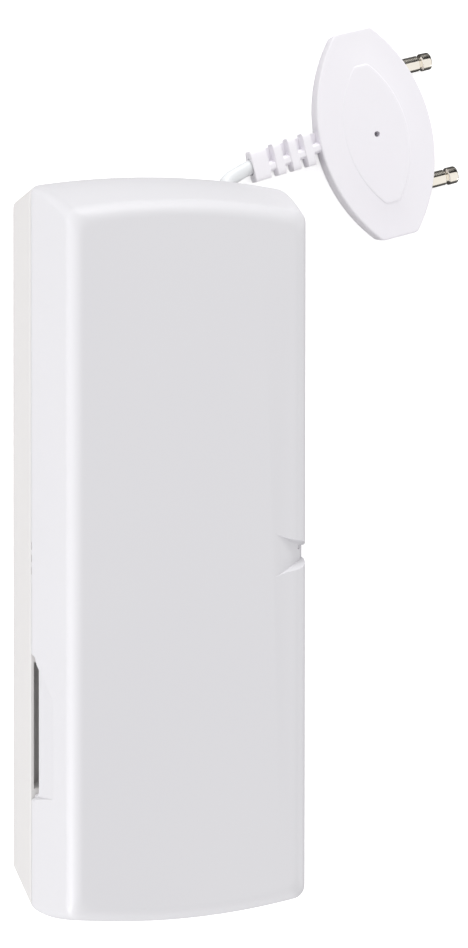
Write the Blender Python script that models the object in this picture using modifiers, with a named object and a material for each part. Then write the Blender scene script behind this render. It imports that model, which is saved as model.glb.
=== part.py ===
# Water leak sensor: a slim two-shell radio transmitter with a flat contact probe on a short lead.
# It lies on its back. X runs across the case, Y along it towards the lead's end, Z out of its front.
# The origin is the middle of the flat back. Metres throughout, +Z up.

import math

import bmesh
import bpy
from mathutils import Matrix, Vector

mm = 0.001
union_overlap = 0.2 * mm      # how far a joined feature is rooted in the wall that carries it
cut_margin = 1.0 * mm         # how far a cutter runs past the face that it opens
seat_gap = 0.3 * mm           # running and seating clearance between two pieces
weld_distance = 0.01 * mm

# Case, from the outside
case_length = 81.0 * mm       # over the two arched ends, at the seam
case_width = 28.8 * mm        # at the seam
case_depth = 23.4 * mm        # from the flat back to the flat front
seam_height = 10.0 * mm       # where the rear base meets the front cover
end_arch = 1.3 * mm           # how far each end bulges past its own corners
front_inset_side = 1.6 * mm   # how far the cover's sides lean in, seam to front
front_inset_end = 3.0 * mm    # how far the cover's ends lean in, seam to front
back_inset_side = 0.1 * mm
back_inset_end = 1.5 * mm
corner_radius = 1.2 * mm      # upright corners, in plan
front_edge_radius = 1.1 * mm  # round all along the front's edge
back_edge_radius = 0.6 * mm
wall = 1.8 * mm
seam_gap = 0.3 * mm
tongue_height = 1.6 * mm      # the base's tongue stands up inside the cover's lip
tongue_thickness = 0.8 * mm
corner_steps = 5
arch_steps = 10
edge_steps = 6

# Battery slot in the cover's left wall, with its sloped surround
slot_length = 15.6 * mm
slot_height = 2.1 * mm
slot_from_end = 20.6 * mm     # from the case's -Y end to the middle of the slot
slot_chamfer = 0.9 * mm
slot_flare = 0.8 * mm         # how much each end of the slot closes in, through the wall
pocket_skin = 0.35 * mm       # what is left of the base's wall outside the pocket, at its rim
pocket_draft = 0.15           # the skin thickens by this share of the depth
pocket_depth = 5.5 * mm
surround_rise = 8.0 * mm
surround_depth = 0.35 * mm
surround_margin = 0.7 * mm
surround_slant = 2.5 * mm     # the surround's lower edge climbs this far along the case

# Opening scoop on the cover's right edge, over the catch
scoop_place = 0.2 * mm
scoop_reach = 2.9 * mm        # from the front's edge inwards
scoop_wide = 4.8 * mm
scoop_narrow = 1.4 * mm
scoop_depth = 1.0 * mm
scoop_bank = 0.45             # how far its banks lean out for each millimetre of height
catch_cut = 3.2 * mm
catch_bite = 0.3 * mm
corner_bite = 0.62 * mm       # a deeper corner at the catch opening's upper end
corner_bite_length = 0.4 * mm

# Three short sight slits in the seam on the left, beside the catch
slit_count = 3
slit_length = 0.8 * mm
slit_pitch = 1.35 * mm
slit_height = 0.35 * mm
slit_place = -1.0 * mm

# Catches inside the shells, halfway along
catch_length = 6.0 * mm
catch_height = 2.2 * mm
catch_thickness = 0.9 * mm

# Wall screw holes in the back
screw_hole_radius = 2.0 * mm
screw_hole_from_end = 11.5 * mm
screw_access_radius = 3.2 * mm # the driver's way through the cradle and the board

# Circuit board and its posts
board_side_gap = 1.9 * mm     # between the case's wall and the board
board_top_gap = 9.5 * mm      # from the case's +Y end to the board
board_thickness = 1.2 * mm
post_height = 1.4 * mm
post_radius = 1.9 * mm
post_inset = 2.6 * mm
part_margin = 0.45 * mm       # between the board's edge and the first part
board_screw_radius = 0.85 * mm
board_screw_head_radius = 1.7 * mm
board_screw_head_height = 1.0 * mm

# Half-length lithium cell in its cradle
cell_radius = 7.25 * mm
cell_length = 25.0 * mm
cell_button_radius = 2.6 * mm
cell_button_height = 0.8 * mm
cell_edge = 0.7 * mm
cradle_wall = 1.2 * mm
cradle_floor = 0.6 * mm
cradle_height = 6.4 * mm
cradle_from_end = 4.8 * mm    # from the case's -Y end to the cradle
contact_thickness = 0.4 * mm
contact_width = 7.0 * mm
contact_height = 8.6 * mm
spring_length = 2.6 * mm
spring_wire_radius = 0.25 * mm
spring_large_radius = 3.0 * mm
spring_small_radius = 1.6 * mm
spring_turns = 3
points_per_turn = 14

# Terminal block for the lead's two cores
terminal_width = 6.8 * mm
terminal_length = 6.0 * mm
terminal_height = 6.6 * mm
terminal_pitch = 3.3 * mm
terminal_bore_radius = 0.9 * mm
terminal_bore_depth = 3.0 * mm
terminal_screw_radius = 1.2 * mm
terminal_screw_sink = 1.0 * mm
terminal_slot_width = 0.4 * mm

# Small parts on the board
radio_size = (7.8 * mm, 8.0 * mm, 2.4 * mm)
controller_size = (4.0 * mm, 6.4 * mm, 1.3 * mm)
crystal_size = (3.2 * mm, 4.0 * mm, 1.2 * mm)
tamper_size = (3.0 * mm, 6.0 * mm, 2.2 * mm)
tamper_stem_radius = 0.9 * mm
capacitor_radius = 1.2 * mm
capacitor_length = 5.4 * mm
indicator_radius = 1.5 * mm
indicator_height = 4.4 * mm
aerial_radius = 2.2 * mm
aerial_wire_radius = 0.3 * mm
aerial_turns = 5
aerial_length = 7.0 * mm
part_edge = 0.25 * mm
part_spacing = 0.6 * mm       # between neighbouring parts on the board
column_gap = 0.35 * mm
end_spacing = 1.0 * mm

# Probe: a lens-shaped plate with two pins out of one long side and the lead into the other
probe_length = 24.4 * mm
probe_width = 14.0 * mm
probe_end_width = 4.55 * mm
probe_thickness = 2.7 * mm
probe_edge_radius = 0.7 * mm
probe_from_side = 13.95 * mm  # from the case's side and end to the middle of the plate
probe_from_end = 6.05 * mm
probe_turn = math.radians(14.4)
pad_length = 16.8 * mm        # the raised lens on the plate
pad_width = 8.3 * mm
pad_end_width = 1.7 * mm
pad_rise = 0.18 * mm
pad_slope = 0.14 * mm
vent_radius = 0.37 * mm
vent_depth = 1.4 * mm
lens_steps = 20

# Contact pins
pin_radius = 0.93 * mm
pin_head_radius = 1.04 * mm
pin_groove_radius = 0.74 * mm
pin_groove_width = 0.36 * mm
pin_shank_radius = 0.6 * mm
pin_shank_length = 3.0 * mm
pin_spacing = 14.0 * mm
pin_tip_reach = 3.4 * mm      # from the plate's edge to the pin's tip
pin_head_length = 1.25 * mm
pin_tip_edge = 0.25 * mm
pin_seat_depth = 0.3 * mm
pin_side_gap = 0.12 * mm

# Strain relief: a flat ladder of rings on a core, with a rib down each flat side
relief_shift = -0.2 * mm      # its middle line stands off the plate's own
relief_collar_length = 1.8 * mm
relief_collar_height = 3.6 * mm
relief_ring_length = 1.15 * mm
relief_ring_pitch = 1.95 * mm
relief_first_height = 3.6 * mm
relief_last_height = 4.0 * mm
relief_ring_count = 3
relief_core_height = 2.7 * mm
relief_core_thickness = 1.7 * mm
relief_rib_width = 0.8 * mm
relief_gap = 0.9 * mm         # between the last ring and the plate
relief_edge = 0.15 * mm

# Lead
lead_radius = 0.85 * mm
lead_socket_depth = 1.2 * mm
lead_socket_gap = 0.12 * mm
lead_outlet_from_side = 4.3 * mm
lead_point_spacing = 1.6 * mm
core_wire_radius = 0.45 * mm
outlet_clearance = 0.3 * mm
lead_start_share = 0.28       # of the way from the terminals to the board's end
lead_level_share = 0.36
lead_turn_share = 0.66
lead_lift = 3.4               # its height over the board's end, in radii
outlet_drop = 0.4 * mm
outlet_reach = 1.35 * mm
outlet_side = 0.75 * mm

# Places that follow from the sizes above
floor_top = wall
board_bottom = floor_top + post_height + seat_gap
board_top = board_bottom + board_thickness
parts_bottom = board_top + seat_gap
slot_place = -case_length / 2 + slot_from_end
screw_hole_place = case_length / 2 - screw_hole_from_end
cradle_bottom_end = -case_length / 2 + cradle_from_end
cradle_bottom = floor_top + seat_gap
cell_start = cradle_bottom_end + cradle_wall + contact_thickness + spring_length + 3 * seat_gap
cell_height = cradle_bottom + cradle_floor + seat_gap + cell_radius
cradle_width = 2 * (cell_radius + seat_gap + cradle_wall)
cradle_top_end = (cell_start + cell_length + cell_button_height + contact_thickness
                  + 2 * seat_gap + cradle_wall)
board_bottom_end = cradle_top_end + end_spacing
board_top_end = case_length / 2 - board_top_gap
board_width = case_width - 2 * (wall + board_side_gap)
parts_start = board_bottom_end + end_spacing
left_column = -board_width / 2 + part_margin
right_column = board_width / 2 - part_margin
second_row = parts_start + radio_size[1] + part_spacing
terminal_place_x = right_column - terminal_width / 2
terminal_place_y = parts_start + terminal_length / 2
wire_height = parts_bottom + terminal_height * 0.45
outlet_height = floor_top + seat_gap + lead_radius
lead_outlet_x = case_width / 2 - lead_outlet_from_side
probe_centre = Vector((case_width / 2 + probe_from_side, case_length / 2 + probe_from_end))
probe_along = Vector((math.cos(probe_turn), math.sin(probe_turn)))
probe_across = Vector((-math.sin(probe_turn), math.cos(probe_turn)))
probe_middle = probe_thickness / 2
probe_face = probe_thickness - pad_rise


def clear_scene():
    for item in list(bpy.data.objects):
        bpy.data.objects.remove(item, do_unlink=True)


def new_collection(name):
    collection = bpy.data.collections.new(name)
    bpy.context.scene.collection.children.link(collection)
    return collection


def new_material(name, color, roughness, metallic=0.0):
    material = bpy.data.materials.new(name)
    material.use_nodes = True
    shader = material.node_tree.nodes["Principled BSDF"]
    shader.inputs["Base Color"].default_value = (*color, 1.0)
    shader.inputs["Roughness"].default_value = roughness
    shader.inputs["Metallic"].default_value = metallic
    return material


def place(item, material=None):
    """Put an object among the parts, or among the cutters when it has no material."""
    for collection in list(item.users_collection):
        collection.objects.unlink(item)
    if material is None:
        cutter_collection.objects.link(item)
        item.hide_render = True
        item.display_type = "WIRE"
    else:
        part_collection.objects.link(item)
        item.data.materials.clear()
        item.data.materials.append(material)
    return item


def object_from_bmesh(name, shape, material=None):
    mesh = bpy.data.meshes.new(name)
    shape.to_mesh(mesh)
    shape.free()
    return place(bpy.data.objects.new(name, mesh), material)


def smooth(item, angle=35.0):
    """Shade round faces smooth and leave real edges sharp."""
    item.data.shade_smooth()
    item.data.set_sharp_from_angle(angle=math.radians(angle))
    return item


def add_bevel(item, width, segments=2):
    bevel = item.modifiers.new("edge", "BEVEL")
    bevel.width = width
    bevel.segments = segments
    bevel.limit_method = "ANGLE"
    bevel.angle_limit = math.radians(40.0)
    return item


def boolean(item, tool, operation):
    modifier = item.modifiers.new(tool.name, "BOOLEAN")
    modifier.operation = operation
    modifier.solver = "EXACT"
    modifier.object = tool
    return item


def cut(item, *tools):
    for tool in tools:
        boolean(item, tool, "DIFFERENCE")
    return item


def join(item, *tools):
    for tool in tools:
        boolean(item, tool, "UNION")
    return item


def box(name, size, centre, material=None, edge=0.0):
    """A block of a given size about its centre."""
    shape = bmesh.new()
    bmesh.ops.create_cube(shape, size=1.0)
    bmesh.ops.scale(shape, vec=Vector(size), verts=shape.verts)
    item = object_from_bmesh(name, shape, material)
    item.location = centre
    if edge > 0.0:
        add_bevel(item, edge)
    return item


def cylinder(name, radius, length, centre, axis="Z", material=None, sides=24):
    """A round bar about its centre, along one axis."""
    shape = bmesh.new()
    bmesh.ops.create_cone(shape, cap_ends=True, segments=sides, radius1=radius, radius2=radius,
                          depth=length)
    item = object_from_bmesh(name, shape, material)
    item.location = centre
    item.rotation_euler = axis_turn(axis)
    if material is not None:
        smooth(item)
    return item


def axis_turn(axis):
    if axis == "X":
        return (0.0, math.radians(90.0), 0.0)
    if axis == "Y":
        return (math.radians(-90.0), 0.0, 0.0)
    return (0.0, 0.0, 0.0)


def turned(name, profile, material, steps=28):
    """A solid of revolution about its own Z. The profile is (radius, height), top to bottom."""
    mesh = bpy.data.meshes.new(name)
    points = [(radius, 0.0, height) for radius, height in profile]
    edges = [(index, index + 1) for index in range(len(points) - 1)]
    mesh.from_pydata(points, edges, [])
    item = place(bpy.data.objects.new(name, mesh), material)
    screw = item.modifiers.new("turn", "SCREW")
    screw.steps = steps
    screw.render_steps = steps
    screw.use_merge_vertices = True
    screw.merge_threshold = weld_distance
    screw.use_smooth_shade = True
    return item


def tube(name, points, radius, material, resolution=2):
    """A round wire along a line of points, with flat ends."""
    curve = bpy.data.curves.new(name, "CURVE")
    curve.dimensions = "3D"
    curve.bevel_depth = radius
    curve.bevel_resolution = resolution
    curve.use_fill_caps = True
    spline = curve.splines.new("POLY")
    spline.points.add(len(points) - 1)
    for knot, point in zip(spline.points, points):
        knot.co = (*point, 1.0)
    return place(bpy.data.objects.new(name, curve), material)


def smooth_path(route, spacing):
    """Points at an even spacing on one smooth curve through a route's own points."""
    ends = [2 * route[0] - route[1]] + list(route) + [2 * route[-1] - route[-2]]
    fine = []
    samples = 24
    for before, start, stop, after in zip(ends, ends[1:], ends[2:], ends[3:]):
        for sample in range(samples):
            t = sample / samples
            fine.append(0.5 * (2 * start + (stop - before) * t
                               + (2 * before - 5 * start + 4 * stop - after) * t ** 2
                               + (3 * start - before - 3 * stop + after) * t ** 3))
    fine.append(route[-1].copy())
    lengths = [0.0]
    for first, second in zip(fine, fine[1:]):
        lengths.append(lengths[-1] + (second - first).length)
    count = max(2, round(lengths[-1] / spacing))
    path = []
    index = 0
    for step in range(count + 1):
        wanted = lengths[-1] * step / count
        while index < len(fine) - 2 and lengths[index + 1] < wanted:
            index += 1
        share = (wanted - lengths[index]) / (lengths[index + 1] - lengths[index])
        path.append(fine[index].lerp(fine[index + 1], min(1.0, max(0.0, share))))
    return path


def case_outline(half_width, half_length, height):
    """One ring of the case: straight sides, arched ends and round corners."""
    arch_radius = (half_width ** 2 + end_arch ** 2) / (2 * end_arch)
    arch_centre = half_length - arch_radius
    corner = min(corner_radius, half_width / 3)
    corner_x = half_width - corner
    corner_y = arch_centre + math.sqrt((arch_radius - corner) ** 2 - corner_x ** 2)
    turn = math.atan2(corner_y - arch_centre, corner_x)
    upper = []
    for step in range(corner_steps + 1):
        angle = turn * step / corner_steps
        upper.append((corner_x + corner * math.cos(angle), corner_y + corner * math.sin(angle)))
    for step in range(1, arch_steps):
        angle = turn + (math.pi - 2 * turn) * step / arch_steps
        upper.append((arch_radius * math.cos(angle), arch_centre + arch_radius * math.sin(angle)))
    for step in range(corner_steps, -1, -1):
        x, y = upper[step]
        upper.append((-x, y))
    lower = [(-x, -y) for x, y in upper]
    return [Vector((x, y, height)) for x, y in upper + lower]


def loft(name, rings, material=None):
    """A closed solid through rings of equal count, capped at both ends."""
    shape = bmesh.new()
    rows = [[shape.verts.new(point) for point in ring] for ring in rings]
    for row, following in zip(rows, rows[1:]):
        for index in range(len(row)):
            after = (index + 1) % len(row)
            shape.faces.new((row[index], row[after], following[after], following[index]))
    shape.faces.new(rows[0])
    shape.faces.new(rows[-1])
    bmesh.ops.recalc_face_normals(shape, faces=shape.faces)
    return object_from_bmesh(name, shape, material)


def cover_half_sizes(height):
    """Half width and half length of the cover's outside at a height."""
    share = (height - seam_height) / (case_depth - seam_height)
    return (case_width / 2 - front_inset_side * share, case_length / 2 - front_inset_end * share)


def base_half_sizes(height):
    """Half width and half length of the base's outside at a height."""
    share = 1.0 - height / seam_height
    return (case_width / 2 - back_inset_side * share, case_length / 2 - back_inset_end * share)


def rounded_rings(half_sizes, top, radius, inset=0.0, upwards=True):
    """Rings that roll a wall over into a flat face, outermost first."""
    rings = []
    side = 1.0 if upwards else -1.0
    for step in range(edge_steps + 1):
        angle = math.pi / 2 * step / edge_steps
        height = top - side * radius * (1 - math.sin(angle))
        half_width, half_length = half_sizes(height)
        drawn_in = inset + radius * (1 - math.cos(angle))
        rings.append(case_outline(half_width - drawn_in, half_length - drawn_in, height))
    return rings


def straight_ring(half_sizes, height, inset):
    half_width, half_length = half_sizes(height)
    return case_outline(half_width - inset, half_length - inset, height)


def wedge(name, inner, outer):
    """A six-sided cutter between two four-cornered faces."""
    return loft(name, [[Vector(point) for point in inner], [Vector(point) for point in outer]])


def slot_section(x, low):
    """The slot's outline at one depth: it closes in towards the inside of the wall."""
    closing = slot_flare * (x + case_width / 2) / wall
    near = slot_place + slot_length / 2 - closing
    far = slot_place - slot_length / 2 + closing
    top = seam_height + slot_height
    return [
        (x, far, low),
        (x, far, top - slot_chamfer),
        (x, far + slot_chamfer, top),
        (x, near - slot_chamfer, top),
        (x, near, top - slot_chamfer),
        (x, near, low),
    ]


def make_front_cover():
    lip_bottom = seam_height + seam_gap / 2
    lip_inset = wall - tongue_thickness - seat_gap
    lap_top = seam_height + tongue_height + seat_gap
    inner_radius = max(front_edge_radius - wall / 2, 0.4 * mm)
    outside = [straight_ring(cover_half_sizes, lip_bottom, 0.0)]
    outside += rounded_rings(cover_half_sizes, case_depth, front_edge_radius)
    inside = [
        straight_ring(cover_half_sizes, lip_bottom, lip_inset),
        straight_ring(cover_half_sizes, lap_top, lip_inset),
        straight_ring(cover_half_sizes, lap_top, wall),
    ]
    inside += rounded_rings(cover_half_sizes, case_depth - wall, inner_radius, wall)
    cover = loft("front_cover", inside[::-1] + outside, white_case)

    left = -case_width / 2
    surround_top = seam_height + surround_rise
    surround_near = slot_place + slot_length / 2 + surround_margin
    surround_far = slot_place - slot_length / 2 - surround_margin
    lean = front_inset_side * surround_rise / (case_depth - seam_height)
    low = seam_height - cut_margin
    drop = surround_depth * cut_margin / surround_rise
    surround = wedge("slot_surround", [
        (left + surround_depth + drop, surround_far, low),
        (left + lean, surround_far + surround_slant, surround_top),
        (left + lean, surround_near - surround_rise / 2, surround_top),
        (left + surround_depth + drop, surround_near, low),
    ], [
        (left - cut_margin, surround_far, low),
        (left - cut_margin, surround_far + surround_slant, surround_top),
        (left - cut_margin, surround_near - surround_rise / 2, surround_top),
        (left - cut_margin, surround_near, low),
    ])
    slot = wedge("slot_opening", slot_section(left + wall + cut_margin, low),
                 slot_section(left - cut_margin, low))

    edge_x = case_width / 2 - front_inset_side
    inner_x = edge_x - scoop_reach
    outer_x = edge_x + cut_margin
    over = case_depth + cut_margin
    slope = scoop_depth / scoop_reach
    narrowing = (scoop_wide - scoop_narrow) / 2 / scoop_reach

    def scoop_face(x, floor, half):
        banked = half + scoop_bank * (over - floor)
        return [(x, scoop_place - half, floor), (x, scoop_place - banked, over),
                (x, scoop_place + banked, over), (x, scoop_place + half, floor)]

    scoop = wedge("opening_scoop",
                  scoop_face(inner_x, case_depth, scoop_wide / 2),
                  scoop_face(outer_x, case_depth - scoop_depth - slope * cut_margin,
                             scoop_narrow / 2 - narrowing * cut_margin))
    catch_opening = box("catch_opening", (catch_bite + cut_margin, scoop_narrow, catch_cut),
                        (edge_x + (cut_margin - catch_bite) / 2, scoop_place,
                         case_depth - catch_cut / 2))
    catch_corner = box("catch_corner",
                       (corner_bite + cut_margin, corner_bite_length, catch_cut),
                       (edge_x + (cut_margin - corner_bite) / 2,
                        scoop_place + (scoop_narrow - corner_bite_length) / 2,
                        case_depth - catch_cut / 2))
    cut(cover, surround, slot, scoop, catch_opening, catch_corner)

    for number in range(slit_count):
        place_y = slit_place + (number - (slit_count - 1) / 2) * slit_pitch
        slit = box("seam_slit_" + str(number + 1),
                   (2 * (wall - tongue_thickness - seat_gap), slit_length, slit_height),
                   (left, place_y, lip_bottom))
        cut(cover, slit)
    return smooth(cover)


def make_rear_base():
    rim = seam_height - seam_gap / 2
    tongue_outer = wall - tongue_thickness
    tongue_top = seam_height + tongue_height
    rim_sizes = base_half_sizes(rim)

    def tongue_sizes(height):
        return cover_half_sizes(max(height, seam_height)) if height > rim else rim_sizes

    outside = rounded_rings(base_half_sizes, 0.0, back_edge_radius, upwards=False)[::-1]
    outside.append(straight_ring(base_half_sizes, rim, 0.0))
    inside = [
        straight_ring(base_half_sizes, rim, tongue_outer),
        straight_ring(tongue_sizes, tongue_top, tongue_outer),
        straight_ring(tongue_sizes, tongue_top, wall),
        straight_ring(base_half_sizes, rim, wall),
        straight_ring(base_half_sizes, floor_top, wall),
    ]
    base = loft("rear_base", outside + inside, white_base)

    for number, (x, y) in enumerate(post_places()):
        post = cylinder("board_post_" + str(number + 1), post_radius, post_height + union_overlap,
                        (x, y, floor_top + (post_height - union_overlap) / 2))
        join(base, post)
    for number, (x, y) in enumerate(screw_places()):
        pilot = cylinder("board_screw_pilot_" + str(number + 1), board_screw_radius + seat_gap,
                         2 * post_height, (x, y, floor_top + post_height))
        cut(base, pilot)
    for side in (-1, 1):
        hole = cylinder("wall_screw_hole_" + ("low" if side < 0 else "high"), screw_hole_radius,
                        wall + 2 * cut_margin, (0.0, side * screw_hole_place, wall / 2))
        cut(base, hole)
    for side in (-1, 1):
        inner_wall = case_width / 2 - wall
        foot = seam_height - catch_height
        catch = box("cover_catch_" + ("left" if side < 0 else "right"),
                    (catch_thickness + union_overlap, catch_length, catch_height),
                    (side * (inner_wall - (catch_thickness - union_overlap) / 2), 0.0,
                     foot + catch_height / 2))
        join(base, catch)
    outlet = cylinder("lead_outlet", lead_radius + outlet_clearance, wall * 4,
                      (lead_outlet_x, outlet_wall_y(), outlet_height), axis="Y")
    left = -case_width / 2
    far = slot_place - slot_length / 2 + slot_flare
    near = slot_place + slot_length / 2 - slot_flare
    inner_x = left + wall + cut_margin

    def pocket_face(height):
        outer_x = left + pocket_skin + pocket_draft * max(seam_height - height, 0.0)
        return [(outer_x, far, height), (inner_x, far, height), (inner_x, near, height),
                (outer_x, near, height)]

    pocket = loft("slot_pocket", [[Vector(point) for point in pocket_face(height)] for height in
                                  (seam_height - pocket_depth, seam_height,
                                   tongue_top + cut_margin)])
    cut(base, outlet, pocket)
    return smooth(base)


def outlet_wall_y():
    """Where the base's arched end wall stands, outside, at the lead's outlet."""
    half_width, half_length = base_half_sizes(outlet_height)
    arch_radius = (half_width ** 2 + end_arch ** 2) / (2 * end_arch)
    return half_length - arch_radius + math.sqrt(arch_radius ** 2 - lead_outlet_x ** 2)


def screw_places():
    return [(left_column + board_screw_head_radius, second_row + board_screw_head_radius),
            (board_width / 2 - post_inset, board_top_end - post_inset)]


def post_places():
    edge = board_width / 2 - post_inset
    return screw_places() + [(-edge, board_top_end - post_inset),
                             (edge, board_bottom_end + post_inset)]


def make_board():
    length = board_top_end - board_bottom_end
    middle = (board_top_end + board_bottom_end) / 2
    board = box("circuit_board", (board_width, length, board_thickness),
                (0.0, middle, (board_bottom + board_top) / 2), green_board)
    for number, (x, y) in enumerate(screw_places()):
        hole = cylinder("board_hole_" + str(number + 1), board_screw_radius + seat_gap,
                        board_thickness + 2 * cut_margin, (x, y, (board_bottom + board_top) / 2))
        cut(board, hole)
        shank = board_thickness + seat_gap + post_height
        screw = turned("board_screw_" + str(number + 1), [
            (0.0, board_screw_head_height),
            (board_screw_head_radius * 0.6, board_screw_head_height),
            (board_screw_head_radius, board_screw_head_height * 0.5),
            (board_screw_head_radius, 0.0),
            (board_screw_radius, 0.0),
            (board_screw_radius, -shank),
            (0.0, -shank),
        ], steel, steps=20)
        screw.location = (x, y, parts_bottom)
    notch = cylinder("board_notch", screw_access_radius, board_thickness + 2 * cut_margin,
                     (0.0, screw_hole_place, (board_bottom + board_top) / 2))
    cut(board, notch)
    return board


def make_cell():
    profile = [
        (0.0, cell_length + cell_button_height),
        (cell_button_radius, cell_length + cell_button_height),
        (cell_button_radius, cell_length),
        (cell_radius - cell_edge, cell_length),
        (cell_radius, cell_length - cell_edge),
        (cell_radius, cell_edge),
        (cell_radius - cell_edge, 0.0),
        (0.0, 0.0),
    ]
    cell = turned("battery", profile, cell_sleeve, steps=32)
    cell.rotation_euler = axis_turn("Y")
    cell.location = (0.0, cell_start, cell_height)

    length = cradle_top_end - cradle_bottom_end
    middle = (cradle_top_end + cradle_bottom_end) / 2
    cradle = box("battery_cradle", (cradle_width, length, cradle_height),
                 (0.0, middle, cradle_bottom + cradle_height / 2), black_plastic)
    hollow = cylinder("cradle_hollow", cell_radius + seat_gap, length - 2 * cradle_wall,
                      (0.0, middle, cell_height), axis="Y", sides=32)
    access = cylinder("cradle_screw_access", screw_access_radius, cradle_height,
                      (0.0, -screw_hole_place, cradle_bottom))
    cut(cradle, hollow, access)

    contact_middle = cell_height
    negative_y = cradle_bottom_end + cradle_wall + seat_gap + contact_thickness / 2
    positive_y = cradle_top_end - cradle_wall - seat_gap - contact_thickness / 2
    for name, y in (("negative_contact", negative_y), ("positive_contact", positive_y)):
        box(name, (contact_width, contact_thickness, contact_height), (0.0, y, contact_middle),
            plated, edge=contact_thickness / 4)

    spring_start = negative_y + contact_thickness / 2 + seat_gap + spring_wire_radius
    spring_stop = cell_start - seat_gap - spring_wire_radius
    points = []
    total = spring_turns * points_per_turn
    for step in range(total + 1):
        share = step / total
        angle = 2 * math.pi * spring_turns * share
        radius = spring_large_radius + (spring_small_radius - spring_large_radius) * share
        points.append(Vector((radius * math.cos(angle),
                              spring_start + (spring_stop - spring_start) * share,
                              cell_height + radius * math.sin(angle))))
    tube("contact_spring", points, spring_wire_radius, plated, resolution=1)
    return cell


def terminal_wire_x(side):
    return terminal_place_x + side * terminal_pitch / 2


def make_terminals():
    top = parts_bottom + terminal_height
    block = box("terminal_block", (terminal_width, terminal_length, terminal_height),
                (terminal_place_x, terminal_place_y, parts_bottom + terminal_height / 2),
                green_plastic, edge=part_edge)
    mouth = terminal_place_y + terminal_length / 2
    for side in (-1, 1):
        name = "left" if side < 0 else "right"
        x = terminal_wire_x(side)
        bore = cylinder("terminal_bore_" + name, terminal_bore_radius,
                        terminal_bore_depth + cut_margin,
                        (x, mouth + (cut_margin - terminal_bore_depth) / 2, wire_height), axis="Y")
        sink = cylinder("terminal_sink_" + name, terminal_screw_radius + seat_gap,
                        2 * terminal_screw_sink, (x, terminal_place_y, top))
        cut(block, bore, sink)
        screw = cylinder("terminal_screw_" + name, terminal_screw_radius,
                         terminal_screw_sink - seat_gap,
                         (x, terminal_place_y, top - (terminal_screw_sink + seat_gap) / 2
                          + seat_gap / 2), material=steel, sides=20)
        slot = box("terminal_slot_" + name,
                   (terminal_slot_width, 3 * terminal_screw_radius, terminal_screw_sink),
                   (x, terminal_place_y, top + terminal_screw_sink * 0.1))
        cut(screw, slot)
    return block


def make_board_parts():
    def on_board(name, size, x, y, material):
        return box(name, size, (x, y, parts_bottom + size[2] / 2), material, edge=part_edge)

    column_edge = left_column + radio_size[0]
    on_board("radio_module", radio_size, left_column + radio_size[0] / 2,
             parts_start + radio_size[1] / 2, plated)
    on_board("controller_chip", controller_size, column_edge - controller_size[0] / 2,
             second_row + controller_size[1] / 2, black_plastic)

    middle_x = column_edge + column_gap + tamper_size[0] / 2
    tamper_y = parts_start + terminal_length + part_spacing + tamper_size[1] / 2
    tamper = on_board("tamper_switch", tamper_size, middle_x, tamper_y, black_plastic)
    stem_top = case_depth - wall - seat_gap
    stem_bottom = parts_bottom + tamper_size[2] - union_overlap
    stem = cylinder("tamper_stem", tamper_stem_radius, stem_top - stem_bottom,
                    (middle_x, tamper_y, (stem_top + stem_bottom) / 2), sides=16)
    join(tamper, stem)
    on_board("crystal_can", crystal_size, right_column - crystal_size[0] / 2,
             parts_start + terminal_length + part_spacing + crystal_size[1] / 2, plated)

    capacitor = turned("capacitor", [
        (0.0, capacitor_length),
        (capacitor_radius - part_edge, capacitor_length),
        (capacitor_radius, capacitor_length - part_edge),
        (capacitor_radius, part_edge),
        (capacitor_radius - part_edge, 0.0),
        (0.0, 0.0),
    ], black_plastic, steps=20)
    capacitor.location = (left_column + board_screw_head_radius,
                          second_row + 2 * board_screw_head_radius + column_gap + capacitor_radius,
                          parts_bottom)

    dome = [(0.0, indicator_height)]
    dome_steps = 5
    for step in range(1, dome_steps + 1):
        angle = math.pi / 2 * step / dome_steps
        dome.append((indicator_radius * math.sin(angle),
                     indicator_height - indicator_radius * (1 - math.cos(angle))))
    dome += [(indicator_radius, 0.0), (0.0, 0.0)]
    indicator = turned("indicator_lamp", dome, red_lens, steps=20)
    indicator_y = tamper_y + tamper_size[1] / 2 + part_spacing + indicator_radius
    indicator.location = (middle_x, indicator_y, parts_bottom)

    points = []
    total = aerial_turns * points_per_turn
    aerial_y = (second_row + controller_size[1] + part_spacing + aerial_radius
                + aerial_wire_radius)
    aerial_z = parts_bottom + aerial_radius + aerial_wire_radius
    for step in range(total + 1):
        share = step / total
        angle = 2 * math.pi * aerial_turns * share - math.pi / 2
        points.append(Vector((left_column + aerial_length * share,
                              aerial_y + aerial_radius * math.cos(angle),
                              aerial_z + aerial_radius * math.sin(angle))))
    tube("aerial_coil", points, aerial_wire_radius, plated, resolution=1)


def lens_outline(length, width, end_width, steps):
    """A lens: two long arcs that stop at short flat ends, as points across and along."""
    half_length = length / 2
    drop = (width - end_width) / 2
    arc_radius = (half_length ** 2 + drop ** 2) / (2 * drop)
    points = []
    for side in (1, -1):
        for step in range(steps + 1):
            along = side * half_length * (2 * step / steps - 1)
            across = width / 2 - arc_radius + math.sqrt(arc_radius ** 2 - along ** 2)
            points.append((side * across, along))
    return points


def lens_ring(length, width, end_width, inset, height):
    share = 1 - 2 * inset / width
    outline = lens_outline(length - 2 * inset, width - 2 * inset, end_width * share, lens_steps)
    return [Vector((x, y, height)) for x, y in outline]


def probe_edge_reach(across):
    """How far the plate's long edge stands from the middle line at a place along it."""
    drop = (probe_width - probe_end_width) / 2
    half = probe_length / 2
    arc_radius = (half ** 2 + drop ** 2) / (2 * drop)
    return probe_width / 2 - arc_radius + math.sqrt(arc_radius ** 2 - across ** 2)


def on_probe(item):
    """Move a piece from the probe's own axes to where the probe lies."""
    item.matrix_world = probe_frame @ item.matrix_basis
    return item


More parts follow.
